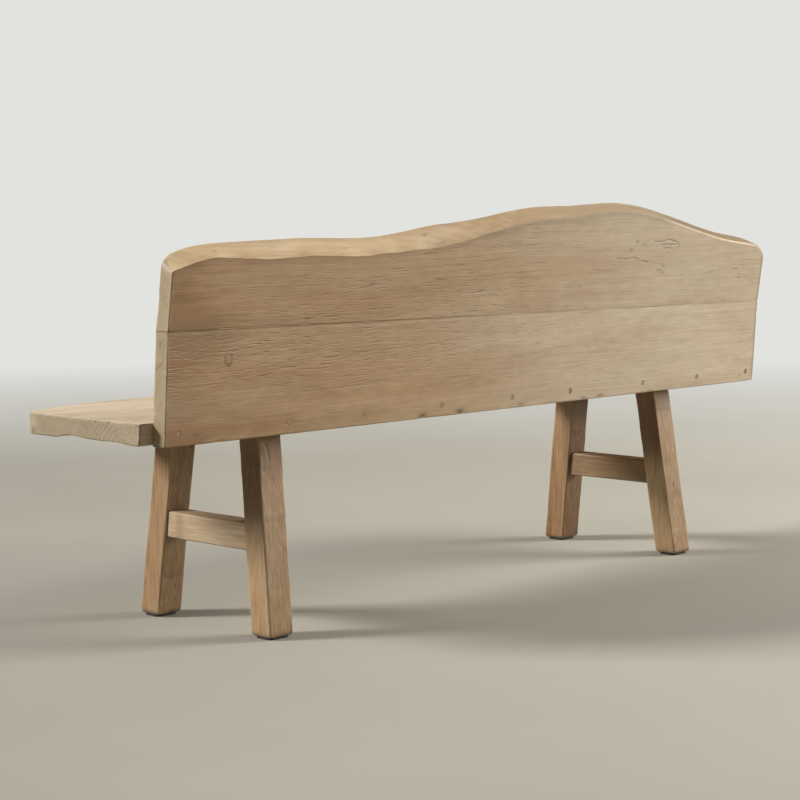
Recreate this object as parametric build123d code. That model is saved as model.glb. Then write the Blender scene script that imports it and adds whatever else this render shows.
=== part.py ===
from build123d import *
import os
from math import radians, tan

# A rustic bench of thick hardwood planks, in millimetres. X runs along the bench, the seat's front
# edge faces -Y, the back stands at +Y and the pads under the feet rest on z = 0. The origin is on
# the floor under the middle of the bench. Right is the +X end, as seen from the front.

# Seat plank
seat_length = 1962.0
seat_depth = 411.0
seat_thickness = 43.0
seat_height = 449.0
seat_end_setback = 56.0
seat_corner_round = 48.0
seat_edge_round = 6.0

# The two planks of the back, with heights measured up from the back's lower edge
back_length = 1900.0
back_thickness = 36.0
back_drop = 3.0
lower_plank_right = 217.0
lower_plank_left = 198.0
lower_lean = 4.1
upper_lean = 8.2
shoulder_height = 346.5
crest_rise = 81.0
wane_rise = 36.0

# Dowels in the joint between the back planks
dowel_count = 6
dowel_diameter = 10.0
dowel_length = 70.0
dowel_end_margin = 110.0

# Legs: the insets place the top of each leg from the seat's end and from the seat's rear edge
leg_width = 64.5
leg_depth = 57.5
leg_edge_round = 5.0
foot_round = 3.0
front_leg_end_inset = 336.0
front_leg_rear_inset = 288.5
front_leg_splay_x = 11.5
front_leg_splay_y = 49.0
rear_leg_end_inset = 342.0
rear_leg_rear_inset = 44.0
rear_leg_splay_x = 21.0
rear_leg_splay_y = 53.0

# Through tenons of the legs and the wedges that spread them
tenon_width = 30.0
tenon_depth = 22.0
wedge_depth = 32.0
wedge_top = 5.0
wedge_tip = 1.5

# Felt pads under the feet
pad_thickness = 4.0
pad_inset = 5.0
pad_corner = 12.0

# Stretchers between the front and rear legs, with blind tenons
stretcher_height = 197.0
stretcher_width = 56.0
stretcher_thickness = 50.0
stretcher_inset = 5.0
stretcher_edge_round = 4.0
stretcher_tenon_width = 36.0
stretcher_tenon_thickness = 16.0
stretcher_tenon_length = 28.0

# Screws through the back into the seat's rear edge, under wooden plugs
screw_end_margin = 34.0
screw_diameter = 5.5
screw_head = 10.5
screw_head_height = 3.0
screw_tip = 7.0
plug_diameter = 11.0
plug_length = 8.0
plug_recess = 0.8

# Clearances
fit_clearance = 0.1
mortise_end_gap = 0.5
screw_tip_margin = 2.0
cut_margin = 5.0

# Front edge of the seat from right to left: place along the half length, share of the end setback
seat_front_edge = [
    (1.0, 1.0), (0.947, 0.73), (0.883, 0.41), (0.763, 0.04), (0.63, 0.09), (0.35, 0.27),
    (0.05, 0.15), (-0.3, 0.0), (-0.6, 0.12), (-0.8, 0.08), (-0.9, 0.45), (-1.0, 1.0),
]  # fmt: skip

# Top edge of the back from right to left: place along the half length, share of the crest's rise at
# the rear face, and share of the wane's rise from the rear face to the front face
back_top_edge = [
    (1.0, -0.21, -0.03), (0.985, -0.17, 0.69), (0.961, -0.09, 0.78), (0.897, 0.06, 0.72),
    (0.76, 0.0, 0.97), (0.633, 0.04, 0.95), (0.506, 0.0, 0.97), (0.359, 0.07, 1.0),
    (0.243, 0.16, 1.22), (0.105, 0.43, 0.92), (-0.084, 0.79, 0.75), (-0.21, 0.84, 0.7),
    (-0.39, 1.0, 0.5), (-0.57, 0.7, 0.55), (-0.738, 0.28, 0.5), (-0.844, 0.06, 0.47),
    (-0.939, -0.06, 0.39), (-0.981, -0.2, 0.33), (-1.0, -0.51, 0.14),
]  # fmt: skip

# How far each hand-drilled screw stands from an even spacing, as a share of that spacing
screw_wander = [0.0, -0.23, -0.13, -0.15, -0.14, -0.01, -0.18, -0.11, 0.0]

# Levels and faces that the pieces share
seat_underside = seat_height - seat_thickness
back_bottom = seat_underside - back_drop
half_seat = seat_length / 2
half_back = back_length / 2


def joint_height(x):
    """Height of the joint between the back planks, which tapers from right to left."""
    middle = (lower_plank_right + lower_plank_left) / 2
    return middle + (lower_plank_right - lower_plank_left) / 2 * x / half_back


def rear_reach(x, height):
    """How far the back's rear face leans behind its own lower edge."""
    joint = joint_height(x)
    lower = min(height, joint) * tan(radians(lower_lean))
    upper = max(height - joint, 0.0) * tan(radians(upper_lean))
    return lower + upper


# The bench is centred between the seat's front edge and the crest's rear face
crest_place = max(back_top_edge, key=lambda row: row[1])[0]
crest_reach = rear_reach(crest_place * half_back, shoulder_height + crest_rise)
back_y = (seat_depth + back_thickness - crest_reach) / 2
seat_rear_y = back_y - back_thickness
seat_front_y = seat_rear_y - seat_depth


def back_point(x, height, forward=0.0):
    """A point of the back's rear face, or as far forward of it as asked."""
    return Vector(x, back_y + rear_reach(x, height) - forward, back_bottom + height)


def bench_leg(side, end_inset, rear_inset, splay_x, splay_y):
    """Top and foot of a leg's axis, on the right for side 1 and on the left for side -1."""
    top = Vector(side * (half_seat - end_inset), seat_rear_y - rear_inset, seat_underside)
    foot = Vector(top.X + side * splay_x, top.Y + splay_y, pad_thickness)
    return top, foot


def axis_point(leg, z):
    """Point of a leg's axis at a height."""
    top, foot = leg
    return foot + (top - foot) * ((z - foot.Z) / (top.Z - foot.Z))


def slanted(section, leg, low, high):
    """A level section carried along a leg's axis from one height to another."""
    start = axis_point(leg, low)
    run = axis_point(leg, high) - start
    return extrude(Pos(*start) * section, amount=run.length, dir=run)


legs = {}
for side_name, side in (("right", 1), ("left", -1)):
    legs["front_" + side_name] = bench_leg(
        side, front_leg_end_inset, front_leg_rear_inset, front_leg_splay_x, -front_leg_splay_y
    )
    legs["rear_" + side_name] = bench_leg(
        side, rear_leg_end_inset, rear_leg_rear_inset, rear_leg_splay_x, rear_leg_splay_y
    )


def along_y(section, x, z, start, end):
    """A section in the XZ plane carried from one y to another."""
    return extrude(Plane.XZ.offset(-start) * Pos(x, z) * section, amount=end - start, dir=(0, 1, 0))


def leg_blank(leg):
    """A leg up to the seat's underside, before its joints are cut."""
    section = RectangleRounded(leg_width, leg_depth, leg_edge_round)
    blank = slanted(section, leg, pad_thickness, seat_underside)
    sole = blank.faces().sort_by(Axis.Z)[0]
    return fillet(sole.edges(), foot_round)


def leg_tenon(leg, grow=0.0, low=seat_underside, high=seat_height):
    """The through tenon of a leg, pared flush with the seat, or with grow its mortise."""
    return slanted(Rectangle(tenon_width + 2 * grow, tenon_depth + 2 * grow), leg, low, high)


def wedge_blank(leg, grow=0.0):
    """A taper that runs across the seat's grain, or with grow the slot for it."""
    tip_z = seat_height - wedge_depth - grow
    top = axis_point(leg, seat_height)
    tip = axis_point(leg, tip_z)
    half_top = wedge_top / 2 + grow
    half_tip = wedge_tip / 2 + grow
    outline = [
        (top.X - half_top, seat_height),
        (top.X + half_top, seat_height),
        (tip.X + half_tip, tip_z),
        (tip.X - half_tip, tip_z),
    ]
    taper = make_face(Polyline(*outline, close=True))
    return along_y(taper, 0, 0, top.Y - tenon_depth, top.Y + tenon_depth)


def stretcher_tenon(side_name, grow=0.0, end_gap=0.0):
    """The bar that ends in both tenons of a stretcher, or with grow the two mortises."""
    front = axis_point(legs["front_" + side_name], stretcher_height)
    rear = axis_point(legs["rear_" + side_name], stretcher_height)
    start = front.Y + leg_depth / 2 - stretcher_tenon_length - end_gap
    end = rear.Y - leg_depth / 2 + stretcher_tenon_length + end_gap
    section = Rectangle(stretcher_tenon_thickness + 2 * grow, stretcher_tenon_width + 2 * grow)
    return along_y(section, stretcher_x(side_name), stretcher_height, start, end)


def stretcher_x(side_name):
    """Middle of a stretcher, set in from the outer faces of its two legs."""
    front = axis_point(legs["front_" + side_name], stretcher_height)
    rear = axis_point(legs["rear_" + side_name], stretcher_height)
    side = 1 if side_name == "right" else -1
    inset = leg_width / 2 - stretcher_inset - stretcher_thickness / 2
    return (front.X + rear.X) / 2 + side * inset


def stretcher(side_name):
    """A stretcher with its shoulders cut to the slanting legs."""
    front = legs["front_" + side_name]
    rear = legs["rear_" + side_name]
    section = RectangleRounded(stretcher_thickness, stretcher_width, stretcher_edge_round)
    start = axis_point(front, stretcher_height).Y
    end = axis_point(rear, stretcher_height).Y
    bar = along_y(section, stretcher_x(side_name), stretcher_height, start, end)
    return bar - leg_blank(front) - leg_blank(rear) + stretcher_tenon(side_name)


def finished_leg(name):
    """A leg with its through tenon, wedge slot and stretcher mortise."""
    leg = legs[name]
    side_name = name.split("_")[1]
    solid = leg_blank(leg) + leg_tenon(leg)
    solid -= wedge_blank(leg, fit_clearance)
    return solid - stretcher_tenon(side_name, fit_clearance, mortise_end_gap)


def foot_pad(leg):
    """A felt pad under a foot."""
    section = RectangleRounded(leg_width - 2 * pad_inset, leg_depth - 2 * pad_inset, pad_corner)
    foot = leg[1]
    return extrude(Pos(foot.X, foot.Y, 0) * section, amount=pad_thickness)


# Screw places along the back, even but for the wander of hand drilling
screw_step = (back_length - 2 * screw_end_margin) / (len(screw_wander) - 1)
screw_places = []
for number, wander in enumerate(screw_wander):
    screw_places.append(half_back - screw_end_margin - screw_step * (number - wander))
screw_z = seat_underside + seat_thickness / 2
screw_seat_depth = plug_recess + plug_length

# The screws stop short of the rear legs' mortises
mortise_rear_y = axis_point(legs["rear_right"], screw_z).Y + tenon_depth / 2
screw_face_y = back_point(0, screw_z - back_bottom).Y
screw_end = screw_face_y - mortise_rear_y - screw_tip_margin


def at_screw(shape, x):
    """Moves a shape drawn down +Z from the rear face into a screw's place."""
    return Pos(x, screw_face_y, screw_z) * Rot(X=90) * shape


def turned(outline):
    """A solid of revolution about Z from a half outline of radius and depth."""
    points = [(radius, 0, depth) for radius, depth in outline]
    return revolve(make_face(Polyline(*points, close=True)), Axis.Z)


def screw_outline(grow=0.0):
    """Countersunk head, shank and point of a screw, or with grow the hole for them."""
    head = screw_head / 2 + grow
    shank = screw_diameter / 2 + grow
    return [
        (head, screw_seat_depth),
        (shank, screw_seat_depth + screw_head_height),
        (shank, screw_end - screw_tip),
        (0, screw_end + grow),
    ]


def screw_hole():
    """The plug's bore and the screw's hole in one."""
    bore = plug_diameter / 2 + fit_clearance
    mouth = [(0, -cut_margin), (bore, -cut_margin), (bore, screw_seat_depth)]
    return turned(mouth + screw_outline(fit_clearance))


def joint_dowel(x, grow=0.0, end_gap=0.0):
    """A dowel across the joint of the back planks, or with grow the hole for it."""
    centre = back_point(x, joint_height(x), back_thickness / 2)
    lean = (lower_lean + upper_lean) / 2
    dowel = Cylinder(dowel_diameter / 2 + grow, dowel_length + 2 * end_gap)
    return Pos(*centre) * Rot(X=-lean) * dowel


dowel_step = (back_length - 2 * dowel_end_margin) / (dowel_count - 1)
dowel_places = [dowel_end_margin + dowel_step * number - half_back for number in range(dowel_count)]


def back_lower_plank():
    """Lower plank: level lower edge, tapering upper edge, bored for the screws and dowels."""
    corners = [
        back_point(half_back, 0),
        back_point(half_back, joint_height(half_back)),
        back_point(-half_back, joint_height(-half_back)),
        back_point(-half_back, 0),
    ]
    plank = extrude(make_face(Polyline(*corners, close=True)), amount=back_thickness, dir=(0, -1, 0))
    plank -= [at_screw(screw_hole(), x) for x in screw_places]
    return plank - [joint_dowel(x, fit_clearance, mortise_end_gap) for x in dowel_places]


def back_outline(forward, wane_share):
    """Outline of the upper plank on its rear face or, further forward, on its front face."""
    top = []
    for place, crest_share, wane in back_top_edge:
        height = shoulder_height + crest_rise * crest_share + wane_rise * wane * wane_share
        top.append(back_point(place * half_back, height, forward))
    right_foot = back_point(half_back, joint_height(half_back), forward)
    left_foot = back_point(-half_back, joint_height(-half_back), forward)
    right_end = Line(right_foot, top[0])
    left_end = Line(top[-1], left_foot)
    return Wire([right_end, Spline(*top), left_end, Line(left_foot, right_foot)])


def back_upper_plank():
    """Upper plank: its wavy top slopes down from the front face to the rear face."""
    rear = back_outline(0.0, 0.0)
    front = back_outline(back_thickness, 1.0)
    plank = Part() + Solid.make_loft([rear, front], ruled=True)
    return plank - [joint_dowel(x, fit_clearance, mortise_end_gap) for x in dowel_places]


def seat_plank():
    """Seat: live front edge, rear edge cut to the lean of the back, four mortises and screw holes."""
    front = []
    for place, setback_share in seat_front_edge:
        front.append((place * half_seat, seat_front_y + seat_end_setback * setback_share))
    overrun = seat_rear_y + seat_thickness
    sides = Polyline(front[-1], (-half_seat, overrun), (half_seat, overrun), front[0])
    plan = Pos(0, 0, seat_underside) * make_face(Spline(*front) + sides)
    plank = extrude(plan, amount=seat_thickness)
    front_corners = plank.edges().filter_by(Axis.Z).sort_by(Axis.Y)[:2]
    plank = fillet(front_corners, seat_corner_round)
    rim = plank.faces().filter_by(Axis.Z).edges()
    rim = rim.filter_by_position(Axis.Y, seat_front_y, overrun, inclusive=(True, False))
    plank = fillet(rim, seat_edge_round)
    behind = back_point(0, 0, back_thickness)
    above = back_point(0, lower_plank_left, back_thickness)
    face = Plane(origin=behind, x_dir=(1, 0, 0), z_dir=(above - behind).cross(Vector(1, 0, 0)))
    plank = split(plank, bisect_by=face, keep=Keep.BOTTOM)
    mortise_low = seat_underside - cut_margin
    mortise_high = seat_height + cut_margin
    plank -= [leg_tenon(leg, fit_clearance, mortise_low, mortise_high) for leg in legs.values()]
    return plank - [at_screw(screw_hole(), x) for x in screw_places]


def back_screws():
    """The screws that hold the back to the seat."""
    screw = turned([(0, screw_seat_depth), *screw_outline()])
    return Compound([at_screw(screw, x) for x in screw_places])


def screw_plugs():
    """The wooden plugs over the screws, sunk a little below the rear face."""
    radius = plug_diameter / 2
    ends = (plug_recess, screw_seat_depth)
    plug = turned([(0, ends[0]), (radius, ends[0]), (radius, ends[1]), (0, ends[1])])
    return Compound([at_screw(plug, x) for x in screw_places])


nodes = {
    "seat_plank": seat_plank(),
    "back_lower_plank": back_lower_plank(),
    "back_upper_plank": back_upper_plank(),
    "back_joint_dowels": Compound([joint_dowel(x) for x in dowel_places]),
    "back_screws": back_screws(),
    "screw_plugs": screw_plugs(),
    "stretcher_right": stretcher("right"),
    "stretcher_left": stretcher("left"),
}
for leg_name, leg in legs.items():
    nodes["leg_" + leg_name] = finished_leg(leg_name)
    nodes["wedge_" + leg_name] = wedge_blank(leg) & leg_tenon(leg)
    nodes["foot_pad_" + leg_name] = foot_pad(leg)

os.makedirs("parts", exist_ok=True)
for name, shape in nodes.items():
    export_step(shape, f"parts/{name}.step")
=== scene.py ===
from itertools import product
from math import cos, radians, sin

import bpy
import numpy as np
from mathutils import Matrix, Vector
from mathutils.kdtree import KDTree


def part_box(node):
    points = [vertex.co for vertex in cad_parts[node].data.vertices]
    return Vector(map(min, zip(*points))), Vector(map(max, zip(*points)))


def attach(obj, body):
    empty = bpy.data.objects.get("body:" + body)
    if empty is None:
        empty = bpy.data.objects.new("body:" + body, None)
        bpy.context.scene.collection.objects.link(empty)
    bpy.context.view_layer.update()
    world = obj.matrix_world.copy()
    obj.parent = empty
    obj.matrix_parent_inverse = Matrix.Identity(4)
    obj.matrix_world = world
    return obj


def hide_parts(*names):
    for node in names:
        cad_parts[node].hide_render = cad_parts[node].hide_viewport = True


# The looks of a rustic bench of bleached hardwood planks, in metres and in the frame of its CAD model.
# X runs along the bench, the seat's front edge faces -Y and the back stands at +Y. Right is +X.

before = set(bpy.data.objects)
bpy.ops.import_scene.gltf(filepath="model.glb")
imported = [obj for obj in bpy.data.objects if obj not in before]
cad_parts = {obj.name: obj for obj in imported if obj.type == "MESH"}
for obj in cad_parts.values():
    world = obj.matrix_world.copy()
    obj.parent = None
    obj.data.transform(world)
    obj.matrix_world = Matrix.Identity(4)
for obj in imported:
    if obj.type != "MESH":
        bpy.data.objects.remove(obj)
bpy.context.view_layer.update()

# Camera at the photograph's place: heading and dip are turned from -Y and from the horizon
camera_place = (3.452, 3.2063, 0.8647)
camera_heading = 0.8059
camera_dip = 0.0959
camera_roll = -0.0067
camera_lens = 95.2
sensor_width = 36.0

# Mesh cells along the grain, and across it on the broad and on the narrow faces
plank_step = 0.0102
plank_cells = (0.0014, 0.004)
seat_step = 0.0092
seat_cells = (0.0027, 0.0027)
leg_step = 0.004
leg_cells = (0.0022, 0.0022)
wedge_cells = (0.0018, 0.0018)
pad_step = 0.0005
pad_cells = (0.0015, 0.0015)
peg_step = 0.002
peg_cells = (0.004, 0.004)

# Points on each half of a rounded corner, and how strongly the sharp corner draws its arc
arc_points = 4
arc_weight = 0.7071

# Rounding of worn edges
back_round = 0.002
crest_round = 0.0024
joint_round = 0.0007
end_round = 0.0026
seat_round = 0.0032
seat_rear_round = 0.003
leg_round = 0.0048
foot_round = 0.0085
stretcher_round = 0.0045
pad_round = 0.0008
pad_corner = 0.012
tenon_round = 0.0004
tenon_radii = [tenon_round] * 4

# Share of the rounding at its ends that a board keeps on a side that touches another timber
tight_share = 0.15

# Relief of the weathered faces, as depths below the CAD model's faces
hollow_depth = 0.0005
fibre_depth = 0.00014
tear_depth = 0.0006
crack_depth = 0.0006
chip_depth = 0.0012
spot_depth = 0.0004
fleck_depth = 0.0005
pore_depth = 0.0008
joint_step = 0.0009

# Widths of a crack and of the pale lip, a painted highlight, that lies below it
crack_width = 0.0014
highlight_lip_width = 0.0018
highlight_lip_drop = 0.003

# Width of the range in which a crack or spot strays from its place
crook = 0.004

# Half length and half widths of torn dashes, and how far beside one points are still looked at
dash_length = 0.012
dash_widths = (0.0006, 0.001)
dash_reach = 0.01

# How deep the felt's edge is frayed, and from which height on
fray_depth = 0.0004
pad_lift = 0.0015

# Clearance of the plugs and tenons, how far a plug stands proud and a cutter overruns, and how close
# two places have to lie to count as one
fit_gap = 0.0001
plug_rise = 0.0007
cut_margin = 0.003
touch = 2e-5

# How far apart the grain of one length of timber lies from the next one's
grain_shift = 7.3

# Layers of a board that stay blank until a dressing fills them
blank_layers = ("tear", "stain", "tone", "sap", "rough", "figure", "bleach", "polish")

# Which way a section's four corners lie from its middle
corner_signs = ((-1, -1), (1, -1), (1, 1), (-1, 1))


def unit(vectors):
    """Vectors along the last axis, scaled to length 1."""
    lengths = np.linalg.norm(vectors, axis=-1, keepdims=True)
    return vectors / np.maximum(lengths, 1e-12)


def smooth(low, high, values):
    """A soft step from 0 at low to 1 at high."""
    share = np.clip((values - low) / (high - low), 0.0, 1.0)
    return share * share * (3 - 2 * share)


def fade(distance, size):
    """1 where there is no distance, falling softly to next to nothing at twice a size."""
    return np.exp(-((distance / size) ** 2))


def lift(layers, name, values):
    """Raises a layer to values where they are higher."""
    layers[name] = np.maximum(layers[name], values)


def scatter(cells, seed):
    """A fixed number from 0 to 1 for each cell of a lattice."""
    cells = cells.astype(np.int64).view(np.uint64)
    mixed = cells[:, 0] * np.uint64(374761393) + cells[:, 1] * np.uint64(668265263)
    mixed += cells[:, 2] * np.uint64(2246822519) + np.uint64(seed * 974634343)
    mixed = (mixed ^ (mixed >> np.uint64(13))) * np.uint64(1274126177)
    mixed = (mixed ^ (mixed >> np.uint64(16))) & np.uint64(0xFFFF)
    return mixed / 65535.0


def noise(points, size, seed):
    """Smooth noise from 0 to 1 whose cells have the given size along each axis."""
    places = points / np.array(size)
    cells = np.floor(places)
    part = places - cells
    part = part * part * (3 - 2 * part)
    total = np.zeros(len(points))
    for corner in product((0, 1), repeat=3):
        weight = np.prod(np.where(corner, part, 1 - part), axis=1)
        total += weight * scatter(cells + corner, seed)
    return total


def wander(places, size, seed):
    """Smooth noise from 0 to 1 along one line of places."""
    line = np.zeros((len(places), 3))
    line[:, 0] = places
    return noise(line, (size, 1.0, 1.0), seed)


def cad_triangles(node):
    """The triangles of a CAD node, as an array of three corners each."""
    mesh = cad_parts[node].data
    mesh.calc_loop_triangles()
    points = np.empty(len(mesh.vertices) * 3, dtype=np.float32)
    mesh.vertices.foreach_get("co", points)
    corners = np.empty(len(mesh.loop_triangles) * 3, dtype=np.int32)
    mesh.loop_triangles.foreach_get("vertices", corners)
    return points.reshape(-1, 3).astype(float)[corners.reshape(-1, 3)]


def cut(triangles, axis, place):
    """Points where the plane across an axis at a place cuts the sides of triangles."""
    points = []
    for first, second in ((0, 1), (1, 2), (2, 0)):
        start, end = triangles[:, first], triangles[:, second]
        before, after = start[:, axis] - place, end[:, axis] - place
        crossing = before * after < 0
        share = before[crossing] / (before[crossing] - after[crossing])
        points.append(start[crossing] + share[:, None] * (end[crossing] - start[crossing]))
    return np.concatenate(points)


def eased(places, knots, heights):
    """Soft steps from one height to the next at knots along a line."""
    total = np.full(len(places), float(heights[0]))
    for number in range(len(knots) - 1):
        rise = heights[number + 1] - heights[number]
        total += rise * smooth(knots[number], knots[number + 1], places)
    return total


def spread(low, high, step, fine=0.0004, growth=1.4):
    """Places from low to high, evenly spaced but crowded towards both ends."""
    offsets = [0.0]
    gap = min(fine, (high - low) / 20)
    while gap < step and offsets[-1] < (high - low) / 3:
        offsets.append(offsets[-1] + gap)
        gap *= growth
    offsets = np.array(offsets)
    count = max(int(round((high - low - 2 * offsets[-1]) / step)), 1) + 1
    middle = np.linspace(low + offsets[-1], high - offsets[-1], count)
    return np.concatenate([low + offsets[:-1], middle, high - offsets[-2::-1]])


def refined(places, zones):
    """Places with closer ones in zones of fine marks, each given as its ends and a gap."""
    for first, last, gap in zones:
        outside = places[(places < first - gap / 2) | (places > last + gap / 2)]
        places = np.sort(np.concatenate([outside, np.arange(first, last + gap / 2, gap)]))
    return places


def end_inset(run, radius):
    """How far a loop is drawn in near the ends of a run, which rounds the ends' edges."""
    distance = np.minimum(run - run[0], run[-1] - run)
    short = np.maximum(radius - distance, 0.0)
    return radius - np.sqrt(radius**2 - short**2)


class Board:
    """A four-sided length of timber, felt or peg as a dense closed mesh.

    Loops with rounded corners run round it at stations along its length, and a grid closes each end.
    """

    def __init__(self, corners, reaches, cells, run, rounding, axis, tight=None):
        """corners holds four points at each station, reaches how far each corner's rounding goes
        along the side before it and after it, cells the mesh's cell on the first side and on the
        second, run how far along each station is, and tight the number of a side that touches
        another timber and is hardly rounded at the ends."""
        self.axis = axis
        self.run = run
        self.corners = corners
        self.sides = unit(np.roll(corners, -1, axis=1) - corners)
        inset = end_inset(run, rounding)[:, None, None]
        share = np.array([tight_share if side == tight else 1.0 for side in range(4)])[:, None]
        inward = np.roll(share, 1, axis=0) * self.sides - share * np.roll(self.sides, 1, axis=1)
        drawn_in = corners + inset * inward
        reaches = np.maximum(reaches - inset * 0.8, rounding * 0.15 + 1e-5)
        middle = corners[len(corners) // 2]
        widths = np.linalg.norm(np.roll(middle, -1, axis=0) - middle, axis=1)
        counts = []
        for side in (0, 1):
            counts.append(max(int(round(max(widths[side], widths[side + 2]) / cells[side])), 2))
        loops = self.loops(drawn_in, reaches, counts)
        self.close(loops, [count + 2 * arc_points - 1 for count in counts])

    def loops(self, corners, reaches, counts):
        """Closed loops of points, each side starting in the middle of a rounded corner."""
        before = corners - np.roll(self.sides, 1, axis=1) * reaches[..., :1]
        after = corners + self.sides * reaches[..., 1:]

        def arc(corner, share):
            start, peak, end = (1 - share) ** 2, 2 * share * (1 - share) * arc_weight, share**2
            bow = start * before[:, corner] + peak * corners[:, corner] + end * after[:, corner]
            return bow / (start + peak + end)

        points = []
        for side in range(4):
            following = (side + 1) % 4
            points += [arc(side, 0.5 + 0.5 * step / arc_points) for step in range(arc_points)]
            for share in np.linspace(0, 1, counts[side % 2]):
                points.append(after[:, side] + (before[:, following] - after[:, side]) * share)
            points += [arc(following, 0.5 * step / arc_points) for step in range(1, arc_points)]
        return np.stack(points, axis=1)

    def close(self, loops, lengths):
        """Joins the loops with faces and fills both ends."""
        stations, around = loops.shape[:2]
        numbers = np.arange(stations * around).reshape(stations, around)
        turned = np.roll(numbers, -1, axis=1)
        skin = np.stack([numbers[:-1], numbers[1:], turned[1:], turned[:-1]], axis=-1)
        points = [loops.reshape(-1, 3)]
        faces = [skin.reshape(-1, 4)]
        station = [np.repeat(np.arange(stations), around)]
        first = numbers.size
        for end in (0, stations - 1):
            grid, inner = self.end_grid(loops[end], numbers[end], first, lengths)
            cells = [grid[:-1, :-1], grid[1:, :-1], grid[1:, 1:], grid[:-1, 1:]]
            cells = np.stack(cells, axis=-1).reshape(-1, 4)
            faces.append(cells[:, ::-1] if end else cells)
            points.append(inner)
            station.append(np.full(len(inner), end))
            first += len(inner)
        self.points = np.concatenate(points)
        self.faces = np.concatenate(faces)
        self.station = np.concatenate(station)
        corner = self.points[self.faces]
        spans = np.cross(corner[:, 2] - corner[:, 0], corner[:, 3] - corner[:, 1])
        if np.sum(spans * corner[:, 0]) < 0:
            self.faces = self.faces[:, ::-1]

    @staticmethod
    def end_grid(loop, numbers, first, lengths):
        """Point numbers of the grid that fills a loop, and the points inside the loop."""
        across, down = lengths
        numbers = np.append(numbers, numbers[0])
        loop = np.concatenate([loop, loop[:1]])
        sides = np.cumsum([0, across, down, across, down])
        parts = [slice(sides[side], sides[side + 1] + 1) for side in range(4)]
        grid = np.empty((across + 1, down + 1), dtype=int)
        grid[:, 0], grid[-1] = numbers[parts[0]], numbers[parts[1]]
        grid[:, -1], grid[0] = numbers[parts[2]][::-1], numbers[parts[3]][::-1]
        grid[1:-1, 1:-1] = first + np.arange((across - 1) * (down - 1)).reshape(across - 1, down - 1)
        low, right = loop[parts[0]], loop[parts[1]]
        high, left = loop[parts[2]][::-1], loop[parts[3]][::-1]
        u = np.linspace(0, 1, across + 1)[1:-1, None, None]
        v = np.linspace(0, 1, down + 1)[None, 1:-1, None]
        ruled = (1 - v) * low[1:-1, None] + v * high[1:-1, None]
        ruled = ruled + (1 - u) * left[None, 1:-1] + u * right[None, 1:-1]
        twice = (1 - v) * ((1 - u) * low[0] + u * low[-1]) + v * ((1 - u) * high[0] + u * high[-1])
        return grid, (ruled - twice).reshape(-1, 3)

    def normals(self):
        """Outward direction at each point."""
        corner = self.points[self.faces]
        spans = np.cross(corner[:, 2] - corner[:, 0], corner[:, 3] - corner[:, 1])
        total = np.zeros_like(self.points)
        for column in self.faces.T:
            for axis in range(3):
                total[:, axis] += np.bincount(column, spans[:, axis], len(total))
        return unit(total)

    def edge_distance(self):
        """Distance of each point from the nearest edge of the timber."""
        offset = self.points[:, None] - self.corners[self.station]
        side = self.sides[self.station]
        along = np.sum(offset * side, axis=2, keepdims=True)
        to_sides = np.linalg.norm(offset - along * side, axis=2)
        run = self.run[self.station]
        to_faces = np.column_stack([to_sides, run - self.run[0], self.run[-1] - run])
        return np.partition(to_faces, 1, axis=1)[:, 1]

    def weather(self, number, dressing=None, held=()):
        """Sinks hollows, fibres and what the dressing adds into the faces, and keeps the layers
        that the wood's material reads. number tells one length of timber from another, and faces
        that look in a held direction touch another timber and stay where they are."""
        order = [self.axis] + [axis for axis in (2, 1, 0) if axis != self.axis]
        middle = self.corners.mean(axis=(0, 1))
        grain = (self.points - middle)[:, order]
        grain[:, 0] += grain_shift * number
        normal = self.normals()
        edge = self.edge_distance()
        end = smooth(0.5, 0.8, np.abs(normal[:, self.axis]))
        depth = hollow_depth * noise(grain, (0.35, 0.07, 0.07), number)
        depth += fibre_depth * noise(grain, (0.07, 0.0045, 0.0045), number + 1) * (1 - end)
        depth += fibre_depth * 2 * noise(grain, (0.01, 0.006, 0.006), number + 2) * end
        chip = smooth(0.62, 0.9, noise(grain, (0.035, 0.02, 0.02), number + 3))
        depth += chip_depth * chip * fade(edge, 0.004)
        wear = fade(edge, 0.0045) * noise(grain, (0.06, 0.03, 0.03), number + 4)
        layers = {layer: np.zeros(len(grain)) for layer in blank_layers}
        layers |= {"wear": wear, "end": end}
        if dressing:
            depth += dressing(self.points, normal, grain, edge, layers)
        layers["polish"] += 0.4 * layers["wear"]
        for direction in held:
            depth *= 1 - smooth(0.75, 0.95, normal @ np.array(direction))
        self.points = self.points - normal * depth[:, None]
        self.layers = {"grain": grain, **layers}
        return self


def add_mesh(name, points, faces):
    """A mesh object in the scene."""
    mesh = bpy.data.meshes.new(name)
    mesh.from_pydata(points.tolist(), [], faces.tolist())
    piece = bpy.data.objects.new(name, mesh)
    bpy.context.scene.collection.objects.link(piece)
    return piece


def joined(boards):
    """Points and faces of several boards as one mesh."""
    firsts = np.cumsum([0] + [len(board.points) for board in boards])
    faces = [board.faces + first for board, first in zip(boards, firsts)]
    return np.concatenate([board.points for board in boards]), np.concatenate(faces)


def carve(piece, cutters):
    """Cuts boards out of a piece."""
    cutter = add_mesh("cutter", *joined(cutters))
    modifier = piece.modifiers.new("carve", "BOOLEAN")
    modifier.object = cutter
    modifier.solver = "EXACT"
    graph = bpy.context.evaluated_depsgraph_get()
    carved = bpy.data.meshes.new_from_object(piece.evaluated_get(graph))
    piece.modifiers.clear()
    old = piece.data
    piece.data = carved
    bpy.data.meshes.remove(old)
    bpy.data.objects.remove(cutter)


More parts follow.
